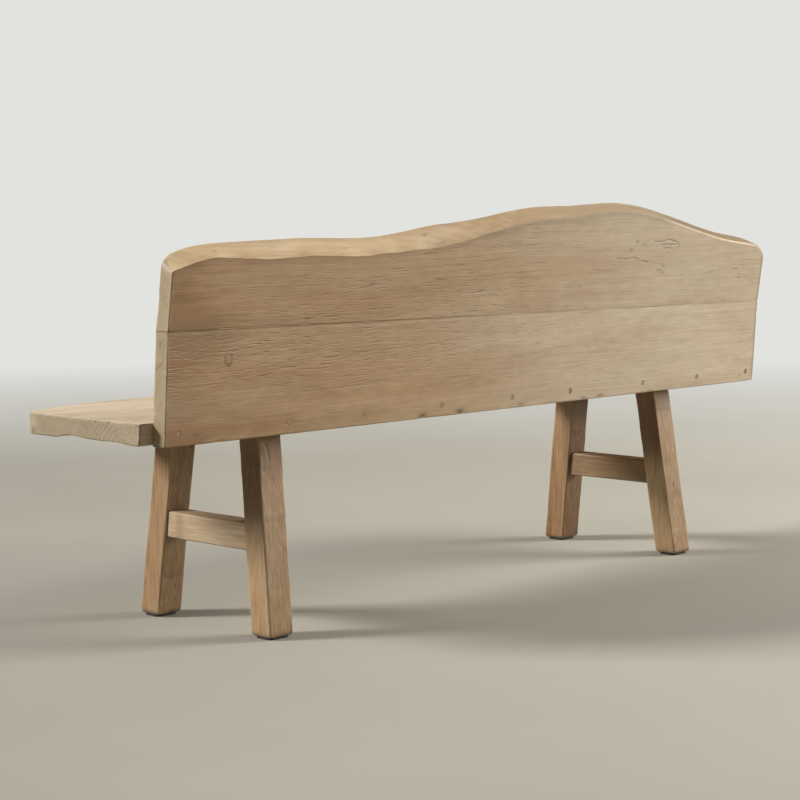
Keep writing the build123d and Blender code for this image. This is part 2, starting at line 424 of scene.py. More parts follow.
def dress(name, boards, material, nodes, cutters=()):
    """Makes one visible piece of boards, with the layers that its material reads."""
    points, faces = joined(boards)
    piece = add_mesh(name, points, faces)
    layers = {
        layer: np.concatenate([board.layers[layer] for board in boards]) for layer in boards[0].layers
    }
    if cutters:
        carve(piece, cutters)
        tree = KDTree(len(points))
        for number, point in enumerate(points):
            tree.insert(point, number)
        tree.balance()
        nearest = [tree.find(vertex.co)[1] for vertex in piece.data.vertices]
        layers = {layer: values[nearest] for layer, values in layers.items()}
    mesh = piece.data
    for layer, values in layers.items():
        vector = values.ndim == 2
        kind = "FLOAT_VECTOR" if vector else "FLOAT"
        attribute = mesh.attributes.new(layer, kind, "POINT")
        attribute.data.foreach_set("vector" if vector else "value", values.astype(np.float32).ravel())
    mesh.shade_smooth()
    mesh.set_sharp_from_angle(angle=radians(50))
    mesh.materials.clear()
    mesh.materials.append(material)
    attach(piece, "root")
    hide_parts(*nodes)
    return piece


class Nodes:
    """The shader nodes of one material."""

    def __init__(self, name):
        self.material = bpy.data.materials.new(name)
        self.material.use_nodes = True
        self.tree = self.material.node_tree
        self.shader = self.tree.nodes["Principled BSDF"]

    def add(self, kind, inputs, output=0, **settings):
        """One node, with its settings and its inputs, and one of its outputs."""
        node = self.tree.nodes.new(kind)
        for setting, value in settings.items():
            setattr(node, setting, value)
        for socket, value in inputs.items():
            self.set(node.inputs[socket], value)
        return node.outputs[output]

    def set(self, socket, value):
        """Links a socket to another node's output, or gives it a plain value."""
        if isinstance(value, bpy.types.NodeSocket):
            self.tree.links.new(value, socket)
        else:
            socket.default_value = value

    def give(self, socket, value):
        """Sets or links an input of the material's shader."""
        self.set(self.shader.inputs[socket], value)

    def layer(self, name, output="Fac"):
        """A layer of the mesh."""
        return self.add("ShaderNodeAttribute", {}, output, attribute_name=name)

    def vector(self, operation, first, second):
        """Arithmetic on two vectors."""
        return self.add("ShaderNodeVectorMath", {0: first, 1: second}, operation=operation)

    def stretched(self, vector, scale):
        """A vector scaled along each axis."""
        return self.vector("MULTIPLY", vector, scale)

    def noise(self, vector, scale, detail=2.0, roughness=0.5, output="Fac"):
        """Noise with so many cells to a metre along each axis."""
        inputs = {"Vector": self.stretched(vector, scale), "Scale": 1.0}
        inputs |= {"Detail": detail, "Roughness": roughness}
        return self.add("ShaderNodeTexNoise", inputs, output)

    def math(self, operation, first, second, third=0.0):
        """Arithmetic on two or three values."""
        return self.add("ShaderNodeMath", {0: first, 1: second, 2: third}, operation=operation)

    def ranged(self, value, low, high, to_low=0.0, to_high=1.0):
        """A value carried from one range to another, without leaving it."""
        inputs = {0: value, 1: low, 2: high, 3: to_low, 4: to_high}
        return self.add("ShaderNodeMapRange", inputs)

    def mixed(self, share, first, second, blend="MIX"):
        """Two colours mixed by a share."""
        inputs = {0: share, 6: first, 7: second}
        return self.add("ShaderNodeMix", inputs, 2, data_type="RGBA", blend_type=blend)

    def between(self, value, tones):
        """A colour from the darker to the lighter of two tones, for values around 0.5."""
        return self.ramp(value, [(0.3, tones[0]), (0.7, tones[1])])

    def ramp(self, value, stops):
        """A colour for each value, from stops of place and colour."""
        output = self.add("ShaderNodeValToRGB", {0: value})
        elements = output.node.color_ramp.elements
        while len(elements) < len(stops):
            elements.new(0.5)
        for element, (place, tone) in zip(elements, stops):
            element.position = place
            element.color = tone
        return output


def colour(red, green, blue):
    """A colour given as screen values from 0 to 255, as the linear values that shaders use."""
    shares = np.array([red, green, blue]) / 255
    linear = np.where(shares <= 0.04045, shares / 12.92, ((shares + 0.055) / 1.055) ** 2.4)
    return (*linear.tolist(), 1.0)


# Tones of the wood's marks, painted highlights and painted shade, of its grey, warm and bleached parts and
# their painted sheen, of plated steel and of felt
sap_and_light_tones = (colour(196, 163, 121), colour(229, 203, 165))
wear_and_highlight_tone = colour(206, 182, 148)
tear_tone = colour(84, 58, 36)
stain_and_shade_tone = colour(58, 40, 25)
fleck_tone = colour(94, 68, 43)
grey_tone = colour(172, 153, 125)
warm_tone = colour(176, 134, 98)
bleach_and_sheen_tones = (colour(168, 154, 130), colour(205, 195, 173))
zinc_tones = (colour(150, 146, 128), colour(205, 202, 192))
felt_tones = (colour(14, 13, 12), colour(44, 42, 40))


def wood(
    name,
    tones,
    ends,
    pith,
    rings=(0.0055, 0.05),
    bend=0.03,
    streak=0.4,
    flecks=0.3,
    gloss=(0.42, 0.56),
    lines=(3.2, 150.0),
    grain=None,
):
    """Weathered hardwood: rings round a pith, streaks and flecks along the grain, worn edges, and pale
    lips painted as highlights under torn dashes.

    tones go from dark to light, ends are those of sawn end grain, pith is where the tree's heart lies
    across the grain, rings gives the rings' spacing and their share of the shade, bend how far the
    grain bows, streak and flecks how strong its streaks and torn dashes are, gloss the range of the
    roughness, and lines how many streaks there are to a metre along and across the grain. grain makes
    the grain's place for timber that has no layers."""
    nodes = Nodes(name)
    grain = grain(nodes) if grain else nodes.layer("grain", "Vector")
    bow = nodes.noise(grain, (1.9, 12.0, 12.0), output="Color")
    bow = nodes.vector("SUBTRACT", bow, (0.5, 0.5, 0.5))
    bow = nodes.stretched(bow, (0.0, bend, bend))
    bent = nodes.vector("ADD", grain, bow)
    heart = nodes.vector("SUBTRACT", bent, (0.0, *pith))
    circles = nodes.add(
        "ShaderNodeTexWave",
        {"Vector": heart, "Scale": 0.314 / rings[0], "Distortion": 0.0},
        "Fac",
        wave_type="RINGS",
        rings_direction="X",
        wave_profile="SIN",
    )
    streaks = nodes.noise(bent, (lines[0], lines[1], lines[1]), 5.0, 0.6)
    fibres = nodes.noise(grain, (18.0, 700.0, 700.0), 2.0)
    patches = nodes.noise(bent, (2.2, 13.0, 13.0), 4.0, 0.55)
    mottle = nodes.noise(grain, (22.0, 60.0, 60.0), 3.0)
    clouds = nodes.noise(bent, (1.7, 8.0, 8.0), 3.0)
    warmth = nodes.noise(bent, (2.6, 15.0, 15.0), 3.0)
    end = nodes.layer("end")
    side = nodes.math("SUBTRACT", 1.0, end)
    figure = nodes.math("MULTIPLY_ADD", nodes.layer("figure"), rings[1] * 9, rings[1])

    shade = nodes.math("ADD", nodes.layer("tone"), 0.5)
    shares = ((streaks, streak), (patches, 0.42), (mottle, 0.24), (fibres, 0.14), (circles, figure))
    for part, share in shares:
        shade = nodes.math("MULTIPLY_ADD", nodes.math("SUBTRACT", part, 0.5), share, shade)
    dark, middle, light = tones
    surface = nodes.ramp(shade, [(0.3, dark), (0.5, middle), (0.7, light)])
    rough = nodes.math("MULTIPLY", nodes.math("ADD", nodes.layer("rough"), 0.15), flecks)
    rough = nodes.math("MULTIPLY", rough, side)
    slanted = nodes.add("ShaderNodeMapping", {"Vector": grain, "Rotation": (0.0, 0.0, 0.02)})
    slanted = nodes.vector("ADD", slanted, nodes.stretched(bow, (0.0, 0.4, 0.4)))
    # Pale lips just under the shader's dashes, painted as highlights
    raised = nodes.vector("ADD", slanted, (0.0, 0.0015, 0.0))
    dashes, highlight_lips = [nodes.noise(place, (26.0, 420.0, 420.0), 1.0) for place in (slanted, raised)]
    dashes = nodes.math("MULTIPLY", nodes.ranged(dashes, 0.6, 0.69), rough)
    highlight_lips = nodes.math("MULTIPLY", nodes.ranged(highlight_lips, 0.6, 0.69, 0.0, 0.75), rough)
    # Besides the wood's own colours, these coats paint sheen, pale highlights under dashes and along
    # edges, and shade along with the stains
    coats = (
        (nodes.ranged(clouds, 0.4, 0.7, 0.0, 0.4), grey_tone),
        (nodes.ranged(warmth, 0.5, 0.75, 0.0, 0.5), warm_tone),
        (nodes.layer("bleach"), nodes.between(shade, bleach_and_sheen_tones)),
        (highlight_lips, wear_and_highlight_tone),
        (dashes, fleck_tone),
        (nodes.layer("sap"), nodes.between(shade, sap_and_light_tones)),
        (nodes.math("MULTIPLY", end, 0.9), nodes.between(shade, ends)),
        (nodes.math("MULTIPLY", nodes.layer("tear"), 0.6), tear_tone),
        (nodes.math("MULTIPLY", nodes.layer("wear"), 0.5), wear_and_highlight_tone),
        (nodes.layer("stain"), stain_and_shade_tone),
    )
    for share, tone in coats:
        surface = nodes.mixed(share, surface, tone)
    nodes.give("Base Color", surface)

    roughness = nodes.ranged(streaks, 0.3, 0.7, *gloss)
    roughness = nodes.math("MULTIPLY_ADD", nodes.layer("polish"), -0.3, roughness)
    nodes.give("Roughness", roughness)
    nodes.give("Specular IOR Level", 0.25)
    height = nodes.math("MULTIPLY_ADD", fibres, 0.5, streaks)
    height = nodes.math("MULTIPLY_ADD", dashes, -2.0, height)
    bump = nodes.add("ShaderNodeBump", {"Height": height, "Distance": 0.0005, "Strength": 0.4}, "Normal")
    nodes.give("Normal", bump)
    return nodes.material


def felt(name):
    """Dark pressed felt with loose fibres."""
    nodes = Nodes(name)
    place = nodes.add("ShaderNodeTexCoord", {}, "Object")
    fibres = nodes.noise(place, (900.0, 900.0, 900.0), 4.0, 0.7)
    tufts = nodes.noise(place, (160.0, 160.0, 160.0), 2.0)
    shade = nodes.math("ADD", nodes.math("MULTIPLY", fibres, 0.7), nodes.math("MULTIPLY", tufts, 0.3))
    tint = nodes.ramp(shade, [(0.35, felt_tones[0]), (0.65, felt_tones[1])])
    nodes.give("Base Color", tint)
    nodes.give("Roughness", 0.95)
    nodes.give("Sheen Weight", 0.25)
    bump = nodes.add("ShaderNodeBump", {"Height": shade, "Distance": 0.0008, "Strength": 0.8}, "Normal")
    nodes.give("Normal", bump)
    return nodes.material


def steel(name):
    """Zinc-plated steel with a cloudy finish."""
    nodes = Nodes(name)
    place = nodes.add("ShaderNodeTexCoord", {}, "Object")
    clouds = nodes.noise(place, (260.0, 260.0, 260.0), 3.0)
    nodes.give("Base Color", nodes.between(clouds, zinc_tones))
    nodes.give("Metallic", 1.0)
    nodes.give("Roughness", nodes.ranged(clouds, 0.3, 0.7, 0.28, 0.5))
    return nodes.material


def plain(name, tones, scale, distances):
    """A plain surface with faint clouds, which fades away between two distances from the middle."""
    nodes = Nodes(name)
    place = nodes.add("ShaderNodeNewGeometry", {}, "Position")
    clouds = nodes.noise(place, (scale, scale, scale), 3.0)
    nodes.give("Base Color", nodes.between(clouds, tones))
    nodes.give("Roughness", 0.8)
    distance = nodes.add("ShaderNodeVectorMath", {0: place}, "Value", operation="LENGTH")
    clear = nodes.add("ShaderNodeBsdfTransparent", {})
    shares = {0: nodes.ranged(distance, *distances), 1: nodes.shader.outputs[0], 2: clear}
    ground = nodes.add("ShaderNodeMixShader", shares)
    nodes.set(nodes.tree.nodes["Material Output"].inputs["Surface"], ground)
    return nodes.material


# Tones of the timbers from dark to light, and of their sawn ends
back_tones = (colour(142, 110, 76), colour(170, 138, 102), colour(190, 160, 126))
seat_tones = (colour(186, 166, 140), colour(216, 199, 173), colour(230, 216, 194))
leg_tones = (colour(114, 84, 54), colour(144, 114, 80), colour(165, 138, 105))
peg_tones = (colour(128, 106, 80), colour(152, 129, 101), colour(170, 148, 120))
back_ends = (colour(142, 126, 101), colour(172, 156, 129))
seat_ends = (colour(128, 115, 93), colour(158, 143, 118))

upper_wood = wood("upper_plank_wood", back_tones, back_ends, (0.31, 0.16), streak=0.34, flecks=0.62)
lower_wood = wood("lower_plank_wood", back_tones, back_ends, (-0.34, -0.17), streak=0.34, flecks=0.62)
seat_wood = wood(
    "seat_plank_wood", seat_tones, seat_ends, (-0.07, 0.17), (0.0095, 0.03), flecks=0.2, gloss=(0.6, 0.72)
)
leg_wood = wood(
    "leg_wood",
    leg_tones,
    back_ends,
    (0.09, 0.05),
    (0.006, 0.03),
    bend=0.01,
    streak=0.8,
    flecks=0.5,
    lines=(8.0, 260.0),
)
peg_wood = wood("peg_wood", peg_tones, peg_tones[1:], (0.01, 0.004), (0.0016, 0.05))


def dowel_grain(nodes):
    """Grain along Z, for timber that has no layers."""
    place = nodes.add("ShaderNodeTexCoord", {}, "Object")
    return nodes.add("ShaderNodeMapping", {0: place, "Rotation": (0.0, radians(90), 0.0)})


dowel_wood = wood("dowel_wood", leg_tones, back_ends, (0.004, 0.2), (0.0012, 0.05), grain=dowel_grain)
black_felt = felt("black_felt")
zinc_steel = steel("zinc_steel")


def even(reach, stations):
    """The same rounding on both sides of four corners at each station, from four radii."""
    return np.tile(np.array(reach)[None, :, None], (stations, 1, 2))


def worn(reaches, run, seed):
    """Roundings that vary along the timber, as hand work and wear leave them."""
    share = np.stack([0.65 + 0.7 * wander(run, 0.06, seed + corner) for corner in range(4)], axis=1)
    return reaches * share[..., None]


def line_distance(flat, line):
    """Distance of flat points from a line through several places."""
    nearest = np.full(len(flat), np.inf)
    for start, end in zip(np.array(line[:-1]), np.array(line[1:])):
        along = end - start
        share = np.clip((flat - start) @ along / (along @ along), 0.0, 1.0)
        nearest = np.minimum(nearest, np.linalg.norm(flat - start - share[:, None] * along, axis=1))
    return nearest


def torn(grain, count, density, seed):
    """Dashes where planing tore the grain: how deep each point lies in one, and how far it is part of the
    pale lip, a painted highlight, under one. density tells how likely a dash is at a place along and
    across."""
    random = np.random.default_rng(seed)
    low, high = grain.min(axis=0), grain.max(axis=0)
    tear = np.zeros(len(grain))
    highlight_lip = np.zeros(len(grain))
    for _ in range(count):
        place = random.uniform(low[:2], high[:2])
        length = dash_length * np.exp(random.normal(0.25, 0.45))
        width = random.uniform(*dash_widths)
        slope = random.normal(-0.02, 0.025)
        bow = random.normal(0.0, 0.3)
        strength = random.uniform(0.2, 0.85)
        if random.uniform() > density(*place):
            continue
        near = np.flatnonzero(np.abs(grain[:, 0] - place[0]) < length)
        near = near[np.abs(grain[near, 1] - place[1]) < dash_reach]
        along = grain[near, 0] - place[0]
        across = grain[near, 1] - place[1] - slope * along - bow * along**2 / length * 0.1
        taper = strength * np.clip(1 - (along / length) ** 2, 0.0, 1.0)
        tear[near] = np.maximum(tear[near], taper * fade(across, width))
        highlight_lip[near] = np.maximum(highlight_lip[near], taper * fade(across + 2.2 * width, 1.1 * width))
    return tear, highlight_lip


# How far the back's ends lie from the middle
back_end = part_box("back_lower_plank")[1][0]

# Numbers of a back plank's upper and lower side, of which one lies at the joint
upper_side = 1
lower_side = 3

# Marks seen on the back's rear face, as places along X and heights, and spots with their sizes
upper_cracks = [
    [(-0.366, 0.721), (-0.391, 0.719), (-0.418, 0.721), (-0.440, 0.718), (-0.460, 0.711), (-0.479, 0.710)],
    [(-0.496, 0.756), (-0.520, 0.756), (-0.553, 0.760), (-0.582, 0.756), (-0.594, 0.746), (-0.569, 0.727)],
    [(-0.535, 0.740), (-0.571, 0.741)],
    [(-0.526, 0.749), (-0.579, 0.748)],
    [(-0.708, 0.677), (-0.723, 0.678), (-0.740, 0.681)],
    [(-0.825, 0.684), (-0.843, 0.685)],
    [(-0.848, 0.671), (-0.867, 0.669), (-0.879, 0.663)],
    [(-0.845, 0.662), (-0.859, 0.660)],
    [(0.282, 0.748), (0.246, 0.747)],
    [(0.245, 0.694), (0.208, 0.693)],
    [(0.170, 0.720), (0.140, 0.722)],
    [(0.120, 0.661), (0.085, 0.663)],
]
lower_cracks = [[(0.678, 0.534), (0.620, 0.537)]]
faint_cracks = [[(-0.017, 0.516), (-0.110, 0.521), (-0.221, 0.531)]]
upper_spots = [
    (0.714, 0.735, 0.0028), (0.851, 0.699, 0.0028), (0.596, 0.628, 0.0028), (0.426, 0.690, 0.0035),
    (-0.410, 0.740, 0.0035), (-0.432, 0.757, 0.0028), (-0.460, 0.751, 0.0028), (-0.471, 0.757, 0.0021),
    (-0.538, 0.701, 0.0028), (-0.527, 0.689, 0.0031), (-0.539, 0.683, 0.0024), (-0.328, 0.742, 0.0028),
    (-0.226, 0.726, 0.0028), (-0.237, 0.663, 0.0022), (-0.616, 0.675, 0.0021), (-0.273, 0.614, 0.0028),
]
lower_spots = [
    (0.875, 0.423, 0.0035), (-0.893, 0.420, 0.0028), (0.136, 0.410, 0.0055), (-0.063, 0.409, 0.0042),
    (-0.282, 0.407, 0.0045), (-0.341, 0.409, 0.0045), (-0.529, 0.406, 0.0042), (0.252, 0.409, 0.0055),
]

# How much longer than high a spot is, and how dark it is for each metre of its size
spot_stretch = 2.4
spot_shade = 150

# Where the marks are so fine that the mesh follows them more closely, along X
upper_zones = [(-0.62, -0.36, 0.005), (-0.88, -0.70, 0.0075)]
lower_zones = [(0.775, 0.828, 0.003)]

# Marks on the back's right end, as places along Y and heights
end_cracks = [
    [(0.1926, 0.600), (0.1915, 0.590)],
    [(0.1799, 0.5492), (0.188, 0.556), (0.1974, 0.5612)],
]

# A pin knot in the lower plank: its middle and its half width and half height
knot = (0.799, 0.5615, 0.0085, 0.0125)


def leftness(x):
    """From 0 on the right of the back to 1 towards its left end."""
    return smooth(0.5, -0.55, x)


def back_dressing(cracks, spots, density, seed):
    """What the faces of a back plank carry besides the plain weathering: marks, painted highlights,
    painted sheen and painted shade.
    """

    def dressing(points, normal, grain, edge, layers):
        x, z = points[:, [0, 2]].T
        rightward, rearward = normal[:, [0, 1]].T
        rear = smooth(0.6, 0.9, rearward)
        front = smooth(-0.6, -0.9, rearward)
        right_end = smooth(0.6, 0.9, rightward)
        shift = (points - grain[:, [0, 2, 1]])[0]
        tear, highlight_lip = np.zeros(len(points)), np.zeros(len(points))
        for face, dash_seed in ((rear, seed), (front, seed + 1)):
            dashes = torn(grain, 1000, lambda u, v: density(u + shift[0], v + shift[2]), dash_seed)
            tear += dashes[0] * face
            highlight_lip += dashes[1] * face
        inner = smooth(0.001, 0.005, edge)
        layers["tear"] += tear * inner
        # Painted highlight: a pale lip under each torn dash
        lift(layers, "wear", 0.6 * highlight_lip * inner)
        layers["rough"] = density(x, z) * inner
        depth = tear_depth * tear * inner
        crooked = points + crook * np.stack(
            [noise(grain, (0.014, 0.007, 0.02), seed + turn) - 0.5 for turn in (3, 4, 5)], axis=1
        )
        broken = 0.5 + 0.5 * smooth(0.2, 0.55, noise(grain, (0.016, 0.006, 0.02), seed + 6))
        marks = [(crooked[:, [0, 2]], line, rear) for line in cracks]
        marks += [(crooked[:, [0, 2]], line, 0.4 * rear) for line in faint_cracks]
        marks += [(crooked[:, [1, 2]], line, right_end) for line in end_cracks]
        for flat, line, face in marks:
            distance = line_distance(flat, line)
            highlight_lip = line_distance(flat + np.array([0.0, highlight_lip_drop]), line)
            mark = fade(distance, crack_width) * face * broken
            depth += crack_depth * mark
            # Painted highlight: a pale lip under each crack
            lift(layers, "wear", 0.2 * fade(highlight_lip, highlight_lip_width) * face * broken)
            lift(layers, "stain", 0.6 * mark)
        for along, height, size in spots:
            distance = np.hypot((crooked[:, 0] - along) / spot_stretch, crooked[:, 2] - height)
            mark = fade(distance, size) * rear * broken
            depth += spot_depth * mark
            lift(layers, "stain", spot_shade * size * mark)
        # Painted sheen and grey weathering: the planks turn greyer and paler towards their left end
        sway = 0.5 * noise(grain, (0.5, 0.12, 0.12), seed + 7) - 0.25
        layers["bleach"] = 0.62 * leftness(x + sway)
        layers["tone"] -= 0.1 * smooth(0.1, 0.8, x) * smooth(0.46, 0.42, z)
        layers["tone"] -= 0.12 * smooth(0.82, 0.93, x) * rear
        # Painted shade: a dark line, without pale wear, along the rear face's edge at the left end
        left_edge_shade = smooth(0.012, 0.003, x + back_end) * smooth(0.1, 0.4, rearward)
        layers["wear"] *= 1 - left_edge_shade
        lift(layers, "stain", 0.4 * left_edge_shade)
        return depth

    return dressing


def plank_corners(node, places):
    """Rear lower, rear upper, front upper and front lower corner of a leaning plank at each place."""
    triangles = cad_triangles(node)
    rows = []
    for place in np.clip(places, places[0] + touch, places[-1] - touch):
        points = cut(triangles, 0, place)
        lower = points[points[:, 2] < points[:, 2].min() + touch]
        foot = lower[lower[:, 1].argmax()]
        rearmost = points[points[:, 1].argmax()]
        lean = (rearmost[1] - foot[1]) / (rearmost[2] - foot[2])
        reach = points[:, 1] - lean * points[:, 2]
        rear = points[reach > reach.max() - touch]
        front = points[reach < reach.min() + touch]
        rear_low, rear_high = rear[rear[:, 2].argmin()], rear[rear[:, 2].argmax()]
        front_low, front_high = front[front[:, 2].argmin()], front[front[:, 2].argmax()]
        rows.append([rear_low, rear_high, front_high, front_low])
    corners = np.array(rows)
    corners[..., 0] = places[:, None]
    return corners


def crest_softness(places):
    """How much rounder than elsewhere the crest's rear edge is along X: crisp on the right."""
    return eased(places, (-0.25, 0.2), (2.6, 0.45))


def crest_chips(places):
    """How far hand work has lowered the crest's rear edge along X, but for its polished left end."""
    chips = 0.0024 * wander(places, 0.05, 91) + 0.0014 * wander(places, 0.024, 92)
    return chips * smooth(-0.6, -0.3, places)


def back_plank(node, radii, number, dressing, joint_side, zones, crest=False):
    """A plank of the back, as a board whose joint_side touches the other plank."""
    low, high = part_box(node)
    places = refined(spread(low[0], high[0], plank_step), zones)
    corners = plank_corners(node, places)
    reaches = worn(even(radii, len(places)), places, number + 20)
    if crest:
        reaches[:, 1] *= crest_softness(places)[:, None]
        corners[:, 1] -= crest_chips(places)[:, None] * unit(corners[:, 1] - corners[:, 0])
    board = Board(corners, reaches, plank_cells, places, end_round, 0, joint_side)
    toward = {upper_side: (0, 0, 1), lower_side: (0, 0, -1)}
    return board.weather(number, dressing, [toward[joint_side]])


def upper_density(x, z):
    """Torn grain on the upper plank: some near the joint and towards the middle."""
    near_joint = 1 - smooth(0.62, 0.74, z)
    middle = smooth(-0.35, 0.15, x) * smooth(0.9, 0.6, x)
    return 0.03 + 0.75 * middle * (0.4 + 0.6 * near_joint)


def lower_density(x, z):
    """Torn grain on the lower plank: most on its right half and away from the lower edge."""
    return 0.05 + 0.85 * smooth(-0.45, 0.6, x) * smooth(0.44, 0.57, z)


def joint_line(points, normal, layers):
    """Grime in the joint of the back planks, most of it at the right where it is also a painted shadow
    under the upper plank, a darker patch near the right end, and how far right points lie.
    """
    x, z = points[:, [0, 2]].T
    rearward = normal[:, 1]
    low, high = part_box("back_upper_plank")[0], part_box("back_lower_plank")[1]
    along = (x - low[0]) / (high[0] - low[0])
    joint = low[2] + (high[2] - low[2]) * along
    right = smooth(0.3, 0.9, along)
    face = smooth(0.5, 0.8, np.abs(rearward))
    line = fade(z - joint, 0.002)
    layers["wear"] *= 1 - fade(z - joint, 0.008)
    end = smooth(0.006, 0.002, back_end - np.abs(x))
    # Dark joint line, darkest at the right, where it is also a painted shadow under the upper plank
    lift(layers, "stain", line * (0.12 + 0.08 * face + 0.4 * right * face + 0.15 * end))
    near = fade(z - joint, 0.06) * smooth(0.88, 0.99, along)
    layers["tone"] -= 0.3 * near * face
    return joint - z, right


def upper_dressing(points, normal, grain, edge, layers):
    """The upper plank's marks, the golden sapwood along its waney top, a painted highlight along the
    crest's rear edge at the left, and a painted shade line under that edge on the right.
    """
    x, z = points[:, [0, 2]].T
    rearward, upward = normal[:, [1, 2]].T
    marks = back_dressing(upper_cracks, upper_spots, upper_density, 30)
    depth = marks(points, normal, grain, edge, layers)
    joint_line(points, normal, layers)
    left = leftness(x)
    layers["sap"] = smooth(0.3, 0.65, upward) * (1 - 0.92 * left)
    layers["tone"] -= 0.3 * left * smooth(0.3, 0.65, upward)
    crest = smooth(0.1, 0.25, upward) * smooth(0.75, 0.5, upward) * smooth(0.3, 0.6, rearward)
    polished = smooth(-0.5, -0.62, x)
    high_edge = fade(edge, 0.009) * smooth(0.68, 0.71, z) * (1 - polished)
    high_edge *= smooth(0.1, 0.5, rearward)
    right_corner = smooth(0.02, 0.007, back_end - x) * smooth(0.05, 0.3, upward)
    layers["wear"] *= (1 - high_edge) * (1 - 0.8 * right_corner)
    # Painted highlight: a pale glinting line along the crest's rear edge at the left, which is also less
    # rough
    lift(layers, "wear", crest * polished)
    layers["polish"] = crest * polished - 0.9 * high_edge
    # Painted shade: a dark line under the crest's rear edge on the right
    under_crest_shade = high_edge * smooth(0.6, 0.9, rearward)
    strip = polished * smooth(0.5, 0.8, upward)
    lift(layers, "stain", np.maximum(0.2 * under_crest_shade, 0.22 * strip))
    layers["tone"] += 0.25 * layers["sap"] * (noise(grain, (0.05, 0.02, 0.02), 33) - 0.5)
    specks = smooth(0.9, 0.98, noise(grain, (0.009, 0.006, 0.006), 34)) * layers["sap"]
    lift(layers, "stain", 0.3 * specks)
    return depth + fleck_depth * specks


def lower_dressing(points, normal, grain, edge, layers):
    """The lower plank's marks, a pin knot, its rear face set back a little below the joint, painted shade
    along its lower edge and a painted highlight just below the joint on the right.
    """
    x, z = points[:, [0, 2]].T
    rearward = normal[:, 1]
    marks = back_dressing(lower_cracks, lower_spots, lower_density, 40)
    depth = marks(points, normal, grain, edge, layers)
    below, right = joint_line(points, normal, layers)
    rear = smooth(0.6, 0.9, rearward)
    knot_x, knot_z, half_width, half_height = knot
    reach = np.hypot((x - knot_x) / half_width, (z - knot_z) / half_height)
    open_top = smooth(1.1, 0.4, (z - knot_z) / half_height)
    swirl = (fade(reach - 1, 0.28) * open_top + 0.4 * fade(reach, 0.35)) * rear
    lift(layers, "stain", 0.5 * swirl)
    # Painted shade along the down-facing lower edge, broken by noise, with no pale wear there
    low_edge = z - z.min()
    grime = fade(low_edge, 0.0025) * noise(grain, (0.05, 0.02, 0.02), 43)
    lift(layers, "stain", 0.6 * grime)
    layers["wear"] *= smooth(0.002, 0.008, low_edge)
    # Painted highlight: a pale band just below the joint on the right
    lift(layers, "wear", 0.25 * smooth(0.012, 0.004, below) * rear * right)
    return depth + spot_depth * swirl + joint_step * rear * smooth(0.08, 0.01, below) * right


upper_board = back_plank(
    "back_upper_plank",
    (joint_round, crest_round * 0.7, crest_round, joint_round),
    1,
    upper_dressing,
    lower_side,
    upper_zones,
    crest=True,
)
lower_board = back_plank(
    "back_lower_plank",
    (back_round, joint_round, joint_round, back_round),
    2,
    lower_dressing,
    upper_side,
    lower_zones,
)


def upright(low, high, step, rounding, section, cells, radii):
    """A board that stands on end, from a function that gives its section's corners at a height."""
    heights = spread(low, high, step)
    corners = np.array([section(height) for height in heights])
    return Board(corners, even(radii, len(heights)), cells, heights, rounding, 2)


def rectangle(centre, half_x, half_y, z):
    """Corners of a level rectangle."""
    return [(centre[0] + across * half_x, centre[1] + along * half_y, z) for across, along in corner_signs]


def peg(centre, radius, front, back, rounding):
    """A round peg along Y."""
    places = spread(front, back, peg_step)
    half = radius * 0.999
    rim = [(centre[0] + across * radius, centre[1] + up * radius) for across, up in corner_signs]
    corners = np.array([[(x, y, z) for x, z in rim] for y in places])
    return Board(corners, even([half] * 4, len(places)), peg_cells, places, rounding, 1)


def plug_dressing(points, normal, grain, edge, layers):
    """Grime round the rim of a plug."""
    rim = fade(edge, 0.0014)
    reach = np.hypot(*(points - points.mean(axis=0))[:, [0, 2]].T)
    screw_stain = fade(reach, 0.0025) * noise(grain, (0.5, 0.5, 0.5), 61)
    layers["wear"] *= 0.0
    layers["stain"] = np.maximum(0.35 * rim, 0.6 * screw_stain)
    return 0.0002 * rim


# The plugs stand where the CAD model has them
plug_corners = cad_triangles("screw_plugs").reshape(-1, 3)
plug_corners = plug_corners[plug_corners[:, 0].argsort()]
breaks = np.flatnonzero(np.diff(plug_corners[:, 0]) > 0.02) + 1
foot, top = lower_board.corners[0][:2]
lean = (top[1] - foot[1]) / (top[2] - foot[2])
plugs = []
plug_bores = []
for number, group in enumerate(np.split(plug_corners, breaks)):
    low, high = group.min(axis=0), group.max(axis=0)
    centre = (low + high)[[0, 2]] / 2
    radius = (high[0] - low[0]) / 2
    cap = peg(centre, radius, low[1], high[1] + plug_rise, 0.0003)
    cap.points[:, 1] += lean * (cap.points[:, 2] - centre[1])
    plugs.append(cap.weather(60 + number, plug_dressing))
    plug_bores.append(peg(centre, radius + fit_gap, low[1] - fit_gap, high[1] + 0.02, 0.0002))

dress("back_upper_timber", [upper_board], upper_wood, ["back_upper_plank"])
dress("back_lower_timber", [lower_board], lower_wood, ["back_lower_plank"], plug_bores)
dress("plug_caps", plugs, peg_wood, ["screw_plugs"])


def seat_corners(places):
    """Front lower, rear lower, rear upper and front upper corner of the seat at each place."""
    triangles = cad_triangles("seat_plank")
    low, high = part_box("seat_plank")
    across = cut(triangles, 0, places[len(places) // 2] + touch)
    rear_high = across[across[:, 1].argmax()]
    rear_low = across[across[:, 2] < low[2] + touch]
    rear_low = rear_low[rear_low[:, 1].argmax()]
    rows = []
    for place in np.clip(places, places[0] + touch, places[-1] - touch):
        front = cut(triangles, 0, place)[:, 1].min()
        rows.append([(front, low[2]), rear_low[1:], rear_high[1:], (front, high[2])])
    corners = np.empty((len(places), 4, 3))
    corners[..., 0] = places[:, None]
    corners[..., 1:] = rows
    return corners


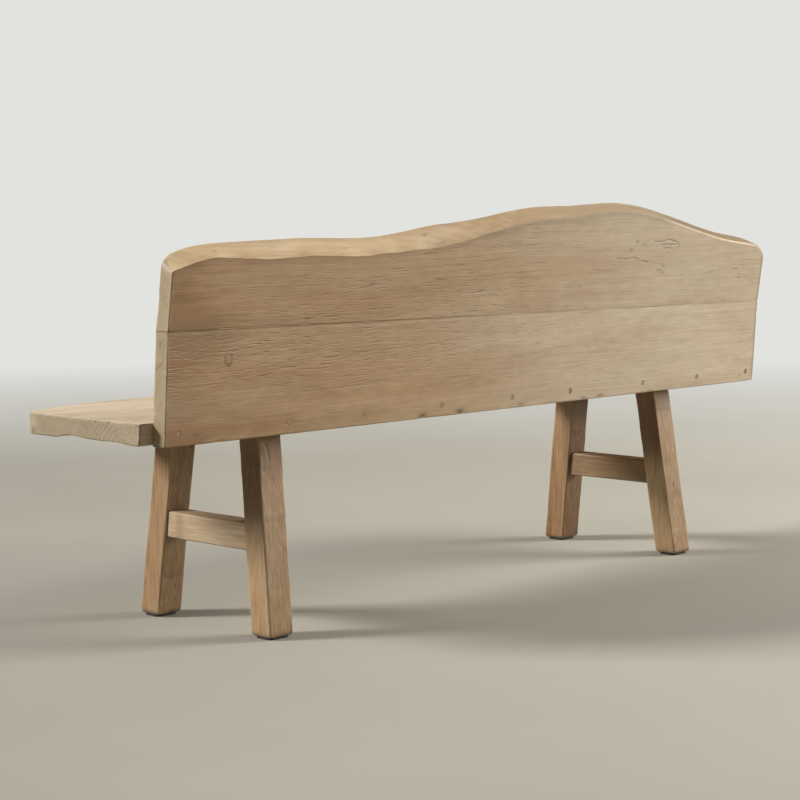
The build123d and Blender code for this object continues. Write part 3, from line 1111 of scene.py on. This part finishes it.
def seat_dressing(points, normal, grain, edge, layers):
    """Marks of the seat: a few tears on top with pale lips painted as highlights, a fan of rings and
    specks on its right end, painted shade on its rear face and along its lower and rear edges, and a dark
    check in its rear right corner.
    """
    x, y, z = points.T
    rightward, rearward, upward = normal.T
    flat = grain[:, [0, 2, 1]]
    tear, highlight_lip = torn(flat, 900, lambda u, v: 0.25, 50)
    top = smooth(0.6, 0.9, upward)
    layers["tear"] += 0.5 * tear * top
    # Painted highlight: pale lips under the torn dashes on top
    lift(layers, "wear", 0.4 * highlight_lip * top)
    # Painted shade: faces that look back towards the back are darker
    layers["tone"] -= 0.25 * smooth(0.5, 0.9, rearward)
    right_end = smooth(0.5, 0.8, rightward)
    middle_y, middle_z = ring_fan
    fan = np.hypot((y - middle_y) / 0.035, (z - middle_z) / 0.02)
    layers["figure"] = fade(fan, 1.0) * smooth(0.5, 0.8, np.abs(rightward))
    layers["end"] = smooth(0.3, 0.6, np.abs(rightward))
    # Painted shade along the lower edges and the rear face's edges, and a dark check in the rear right
    # corner
    rear = smooth(0.25, 0.6, rearward)
    lower = np.maximum(smooth(0.02, 0.01, z - seat_low[2]), rear)
    corner = fade(np.hypot(x - seat_high[0], y - seat_high[1]), 0.004)
    grime = np.maximum(lower * fade(edge, 0.003), corner)
    layers["wear"] *= 1 - grime
    lift(layers, "stain", 0.4 * grime)
    depth = 0.6 * tear_depth * tear * top
    for speck_y, speck_z in end_specks:
        speck = fade(np.hypot(y - speck_y, z - speck_z), 0.0022) * right_end
        lift(layers, "stain", 0.7 * speck)
        depth += chip_depth * speck
    return depth


def seat_hollow(points):
    """How far the wavy underside of the seat rises near its ends."""
    x, y, z = points.T
    rise = smooth(0.3, 0.0, seat_high[0] - np.abs(x))
    wave = eased(y, *zip(*seat_wave))
    lower = (seat_high[2] - z) / (seat_high[2] - seat_low[2])
    return rise * wave * lower


# The seat's ends: the middle of a fan of rings and dark specks, as places along Y and heights, and
# how high the wavy underside rises at places along Y
ring_fan = (0.063, 0.428)
end_specks = [(0.036, 0.4455), (0.0736, 0.4455), (0.1591, 0.4445)]
seat_wave = [(-0.095, 0.0), (-0.047, 0.0064), (0.034, 0.0022), (0.09, 0.0036), (0.135, 0.0)]

seat_low, seat_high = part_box("seat_plank")
seat_places = spread(seat_low[0], seat_high[0], seat_step)
corners = seat_corners(seat_places)
slope = np.gradient(corners[:, 0, 1], seat_places)
slant = np.minimum(np.sqrt(1 + slope**2), 7.0)
reaches = even((seat_round, seat_rear_round, seat_rear_round, seat_round), len(seat_places))
reaches[:, 0, 1] *= slant
reaches[:, 3, 0] *= slant
reaches = worn(reaches, seat_places, 90)
seat_board = Board(corners, reaches, seat_cells, seat_places, seat_round, 0)
seat_board.points[:, 2] += seat_hollow(seat_board.points)
seat_board.weather(3, seat_dressing)


class Leg:
    """A leg as the CAD model has it: its section, its slanting axis and its tenon."""

    def __init__(self, place):
        self.node = "leg_" + place
        triangles = cad_triangles(self.node)
        low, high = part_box(self.node)
        self.bottom = low[2]
        self.foot, self.half = self.section(triangles, low[2] + 0.1)
        self.shin, _ = self.section(triangles, low[2] + 0.3)
        _, self.tenon_half = self.section(triangles, high[2] - 0.01)
        wedge_low, wedge_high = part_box("wedge_" + place)
        wedge = cad_triangles("wedge_" + place)
        self.tip = wedge_low[2]
        self.tip_half = self.section(wedge, wedge_low[2] + touch)[1][0]
        self.top_half = self.section(wedge, wedge_high[2] - touch)[1][0]

    @staticmethod
    def section(triangles, z):
        """Middle and half widths of a level cut."""
        points = cut(triangles, 2, z)
        low, high = points.min(axis=0), points.max(axis=0)
        return (low + high) / 2, (high - low) / 2

    def axis(self, z):
        """Place of the axis at a height."""
        share = (z - self.foot[2]) / (self.shin[2] - self.foot[2])
        return self.foot + (self.shin - self.foot) * share

    def wedge_half(self, z):
        """Half width of the wedge at a height, or next to nothing below its tip."""
        share = (z - self.tip) / (seat_high[2] - self.tip)
        return self.tip_half + (self.top_half - self.tip_half) * share if share > 0 else fit_gap

    def body(self, seed):
        """The leg from its foot to the seat's underside."""
        heights = spread(self.bottom, seat_low[2], leg_step)
        corners = np.array([rectangle(self.axis(z), self.half[0], self.half[1], z) for z in heights])
        reaches = worn(even([leg_round] * 4, len(heights)), heights, seed)
        return Board(corners, reaches, leg_cells, heights, foot_round, 2)

    def tenon(self, side):
        """Half of the split tenon, on one side of its wedge."""

        def section(z):
            gap = self.wedge_half(z) + fit_gap
            half = (self.tenon_half[0] - gap) / 2
            centre = self.axis(z) + np.array([side * (gap + half), 0.0, 0.0])
            return rectangle(centre, half, self.tenon_half[1], z)

        start = seat_low[2] - 0.001
        return upright(start, seat_high[2], leg_step, tenon_round, section, leg_cells, tenon_radii)

    def wedge(self):
        """The wedge in the tenon."""

        def section(z):
            return rectangle(self.axis(z), self.wedge_half(z), self.tenon_half[1], z)

        return upright(self.tip, seat_high[2], leg_step, tenon_round, section, wedge_cells, tenon_radii)

    def mortise(self):
        """The hole through the seat for the tenon."""

        def section(z):
            half = self.tenon_half + fit_gap
            return rectangle(self.axis(z), half[0], half[1], z)

        low, high = seat_low[2] - cut_margin, seat_high[2] + cut_margin
        return upright(low, high, leg_step, tenon_round, section, leg_cells, tenon_radii)


def leg_dressing(seed, shade, soot=(), honey=0.0, bleach=0.0, grime=0.0, cracks=(), spots=()):
    """Marks of a leg: checks and tears along the grain with pale lips painted as highlights, a few dark
    spots, a soiled foot, and dust and painted shade on faces that look up. shade tells how much lighter
    its timber is than the others, soot where a face is painted darker as shade from one height to
    another and how much, honey how much lighter and more golden its right face is painted lower
    down where light reaches it, bleach how grey it is and grime how dark its edges are,
    partly as painted shade. cracks and spots lie on the right or the rear face, as places across it and
    heights."""

    def dressing(points, normal, grain, edge, layers):
        z = points[:, 2]
        rightward, rearward, upward = normal.T
        right = (smooth(0.6, 0.9, rightward), points[:, [1, 2]])
        rear = (smooth(0.6, 0.9, rearward), points[:, [0, 2]])
        faces = {"right": right, "rear": rear}
        side = smooth(0.8, 0.5, np.abs(upward))
        depth = np.zeros(len(points))
        for turn, order in enumerate(([0, 1, 2], [0, 2, 1])):
            tear, highlight_lip = torn(grain[:, order], 120, lambda u, v: 0.4, seed + turn)
            lift(layers, "tear", 0.7 * tear * side)
            # Painted highlight: pale lips under the torn dashes
            lift(layers, "wear", 0.3 * highlight_lip * side)
            depth = np.maximum(depth, 0.6 * tear_depth * tear * side)
        pores = smooth(0.93, 0.985, noise(grain, (0.022, 0.012, 0.012), seed + 2)) * side
        for face, line in cracks:
            on_face, flat = faces[face]
            pores = np.maximum(pores, fade(line_distance(flat, line), 0.002) * on_face)
        for face, across, height, size in spots:
            on_face, flat = faces[face]
            distance = np.linalg.norm(flat - np.array([across, height]), axis=1)
            pores = np.maximum(pores, fade(distance, size) * on_face)
        lift(layers, "stain", 0.6 * pores)
        # Painted shade: faces darker from one height to another, where seat and back shade them
        for face, start, end, strength in soot:
            on_face, flat = faces[face]
            lift(layers, "stain", strength * smooth(start, end, flat[:, 1]) * on_face)
        # Painted light: the right face lighter and more golden lower down, where light reaches it under
        # the seat
        layers["sap"] = honey * smooth(0.28, 0.16, z) * smooth(-0.1, 0.14, z) * right[0]
        layers["bleach"] += bleach
        # Darker edges, partly grime and partly painted shade
        dirt = grime * fade(edge, 0.003)
        layers["wear"] *= 1 - np.minimum(3 * dirt, 1.0)
        lift(layers, "stain", dirt)
        # Painted shade and dust: faces that look up are darker
        dust_and_shade = 0.3 * smooth(0.5, 0.9, upward)
        lift(layers, "stain", dust_and_shade)
        layers["rough"] = 0.6 * side * noise(grain, (0.2, 0.03, 0.03), seed + 4)
        soil = smooth(0.02, 0.006, z) * noise(grain, (0.01, 0.012, 0.012), seed + 3)
        lift(layers, "stain", 0.5 * soil)
        layers["tone"] += shade
        return depth + pore_depth * pores

    return dressing


def joint_grime(points, normal, grain, edge, layers):
    """Grime round the top of a tenon or wedge, where it shows in the seat."""
    layers["wear"] *= 0.0
    layers["stain"] = 0.5 * fade(edge, 0.0012) * smooth(0.3, 0.6, normal[:, 2])
    return 0.0001 * layers["stain"]


# How much lighter or darker the timber of each leg is, and the marks seen on some of them, among them
# painted shade and painted light
leg_shades = {"front_right": -0.06, "rear_right": 0.1, "front_left": -0.16, "rear_left": 0.03}
leg_marks = {
    "rear_right": {
        "soot": [("right", 0.1, 0.34, 0.5), ("rear", 0.29, 0.34, 0.3)],
        "cracks": [("rear", [(0.654, 0.382), (0.647, 0.364), (0.6485, 0.3527)])],
        "spots": [("rear", 0.668, 0.368, 0.004), ("rear", 0.665, 0.3325, 0.0035)],
    },
    "rear_left": {
        "soot": [("right", 0.2, 0.28, 0.5)],
        "honey": 0.6,
        "spots": [("right", 0.1364, 0.263, 0.005), ("right", 0.135, 0.251, 0.004)],
    },
    "front_left": {
        "soot": [("rear", 0.18, 0.02, 0.45), ("rear", 0.29, 0.36, 0.4)],
        "spots": [
            ("rear", -0.622, 0.346, 0.004),
            ("rear", -0.626, 0.320, 0.003),
            ("rear", -0.633, 0.274, 0.004),
            ("rear", -0.639, 0.126, 0.003),
        ],
    },
}
legs = {place: Leg(place) for place in leg_shades}
mortises = [leg.mortise() for leg in legs.values()]
dress("seat_timber", [seat_board], seat_wood, ["seat_plank"], mortises)

for number, (place, leg) in enumerate(legs.items()):
    dressing = leg_dressing(70 + 5 * number, leg_shades[place], **leg_marks.get(place, {}))
    body = leg.body(50 + 5 * number).weather(10 + number, dressing, [(0, 0, 1)])
    tenon = [leg.tenon(side).weather(10 + number, joint_grime) for side in (1, -1)]
    dress("leg_timber_" + place, [body, *tenon], leg_wood, [leg.node])
    wedge = leg.wedge().weather(15 + number, joint_grime)
    dress("wedge_timber_" + place, [wedge], peg_wood, ["wedge_" + place])
    pad_low, pad_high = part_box("foot_pad_" + place)
    centre = [(low + high) / 2 for low, high in zip(pad_low, pad_high)]
    half = [(high - low) / 2 for low, high in zip(pad_low, pad_high)]
    pad = upright(
        pad_low[2],
        pad_high[2],
        pad_step,
        pad_round,
        lambda z: rectangle(centre, half[0], half[1], z),
        pad_cells,
        [pad_corner] * 4,
    )
    pad.layers = {"fray": noise(pad.points, (0.004, 0.004, 0.004), 80 + number)}
    off_floor = pad.points[:, 2:] > pad_lift
    pad.points -= pad.normals() * fray_depth * pad.layers["fray"][:, None] * off_floor
    dress("felt_" + place, [pad], black_felt, ["foot_pad_" + place])


def stretcher(side_name, number, shade, **marks):
    """A stretcher between a front and a rear leg, with shoulders that follow the legs' slant."""
    node = "stretcher_" + side_name
    front, rear = legs["front_" + side_name], legs["rear_" + side_name]
    points = cut(cad_triangles(node), 1, touch)
    low, high = points.min(axis=0), points.max(axis=0)
    section = [(low[0], low[2]), (high[0], low[2]), (high[0], high[2]), (low[0], high[2])]
    middle = (low[2] + high[2]) / 2
    length = rear.axis(middle)[1] - front.axis(middle)[1] - rear.half[1] - front.half[1]
    run = spread(0.0, length, leg_step)
    corners = np.empty((len(run), 4, 3))
    for corner, (x, z) in enumerate(section):
        start = front.axis(z)[1] + front.half[1]
        end = rear.axis(z)[1] - rear.half[1]
        corners[:, corner] = [(x, start + (end - start) * share, z) for share in run / length]
    reaches = worn(even([stretcher_round] * 4, len(run)), run, number + 40)
    board = Board(corners, reaches, leg_cells, run, tenon_round, 1)
    board.weather(number, leg_dressing(100 + number, shade, **marks), [(0, 1, 0), (0, -1, 0)])
    dress("stretcher_timber_" + side_name, [board], leg_wood, [node])


# The stretchers' edges are darkened, partly as painted shade, and the left one's right face is painted
# darker as shade
stretcher("right", 21, 0.05, bleach=0.3, grime=0.4)
stretcher("left", 24, -0.2, grime=0.3, soot=[("right", 0.1, 0.15, 0.12)])

# Hidden inside the wood, so they keep the CAD model's shape
for node, material in (("back_joint_dowels", dowel_wood), ("back_screws", zinc_steel)):
    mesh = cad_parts[node].data
    mesh.materials.clear()
    mesh.materials.append(material)

# Plain pale floor
floor_half = 30.0
floor_corners = np.array(rectangle((0.0, 0.0), floor_half, floor_half, 0.0))
floor = add_mesh("floor", floor_corners, np.array([(0, 1, 2, 3)]))
floor_tones = (colour(152, 148, 137), colour(160, 156, 145))
floor.data.materials.append(plain("pale_floor", floor_tones, 0.8, (2.4, 6.5)))


def turned_to(right, up, back, place):
    """The matrix of an object that looks against back from a place."""
    rows = [(right[axis], up[axis], back[axis], place[axis]) for axis in range(3)]
    return Matrix([*rows, (0.0, 0.0, 0.0, 1.0)])


def add_light(name, kind, power, tint, place, back, level, **settings):
    """A lamp at a place that shines against back and has its width square to level."""
    data = bpy.data.lights.new(name, kind)
    for setting, value in settings.items():
        setattr(data, setting, value)
    data.energy = power
    data.color = tint
    lamp = bpy.data.objects.new(name, data)
    bpy.context.scene.collection.objects.link(lamp)
    right = unit(np.cross(level, back))
    lamp.matrix_world = turned_to(right, np.cross(back, right), back, place)
    return lamp


def soft_light(name, place, target, size, power, tint):
    """A broad area light at a place, turned to a target."""
    back = unit(np.array(place) - np.array(target))
    sizes = {"shape": "RECTANGLE", "size": size[0], "size_y": size[1]}
    lamp = add_light(name, "AREA", power, tint, place, back, (0.0, 0.0, 1.0), **sizes)
    lamp.visible_camera = False


def far_light(name, source, spread_angle, strength, tint):
    """Light from a far soft source in a direction, which falls evenly on bench and floor."""
    back = unit(np.array(source))
    add_light(name, "SUN", strength, tint, 3 * back, back, (0.0, 1.0, 0.0), angle=spread_angle)


far_light("key", (0.66, -0.56, 0.5), radians(15), 4.35, (1.0, 0.985, 0.96))
far_light("ceiling", (0.05, 0.1, 1.0), radians(70), 0.7, (1.0, 0.99, 0.97))
soft_light("window", (-4.9, 3.4, 3.0), (-0.3, 0.2, 0.5), (2.5, 4.2), 555.0, (1.0, 0.98, 0.945))

# A weak even glow, and the pale backdrop that the camera sees
world = bpy.data.worlds.new("studio")
world.use_nodes = True
tree = world.node_tree
glow = tree.nodes["Background"]
glow.inputs["Color"].default_value = (1.0, 0.98, 0.95, 1.0)
glow.inputs["Strength"].default_value = 0.03
backdrop = tree.nodes.new("ShaderNodeBackground")
backdrop.inputs["Color"].default_value = colour(226, 227, 223)
seen = tree.nodes.new("ShaderNodeLightPath")
choice = tree.nodes.new("ShaderNodeMixShader")
tree.links.new(seen.outputs["Is Camera Ray"], choice.inputs[0])
tree.links.new(glow.outputs[0], choice.inputs[1])
tree.links.new(backdrop.outputs[0], choice.inputs[2])
tree.links.new(choice.outputs[0], tree.nodes["World Output"].inputs["Surface"])
bpy.context.scene.world = world
bpy.context.scene.view_settings.view_transform = "Standard"

# The camera, turned by its heading, dip and roll
camera_data = bpy.data.cameras.new("camera")
camera_data.lens = camera_lens
camera_data.sensor_width = sensor_width
camera = bpy.data.objects.new("camera", camera_data)
bpy.context.scene.collection.objects.link(camera)
ahead = np.array([-sin(camera_heading), -cos(camera_heading), 0.0]) * cos(camera_dip)
ahead[2] = -sin(camera_dip)
level = unit(np.cross(ahead, (0.0, 0.0, 1.0)))
above = np.cross(level, ahead)
right = cos(camera_roll) * level + sin(camera_roll) * above
up = cos(camera_roll) * above - sin(camera_roll) * level
camera.matrix_world = turned_to(right, up, -ahead, camera_place)
bpy.context.scene.camera = camera
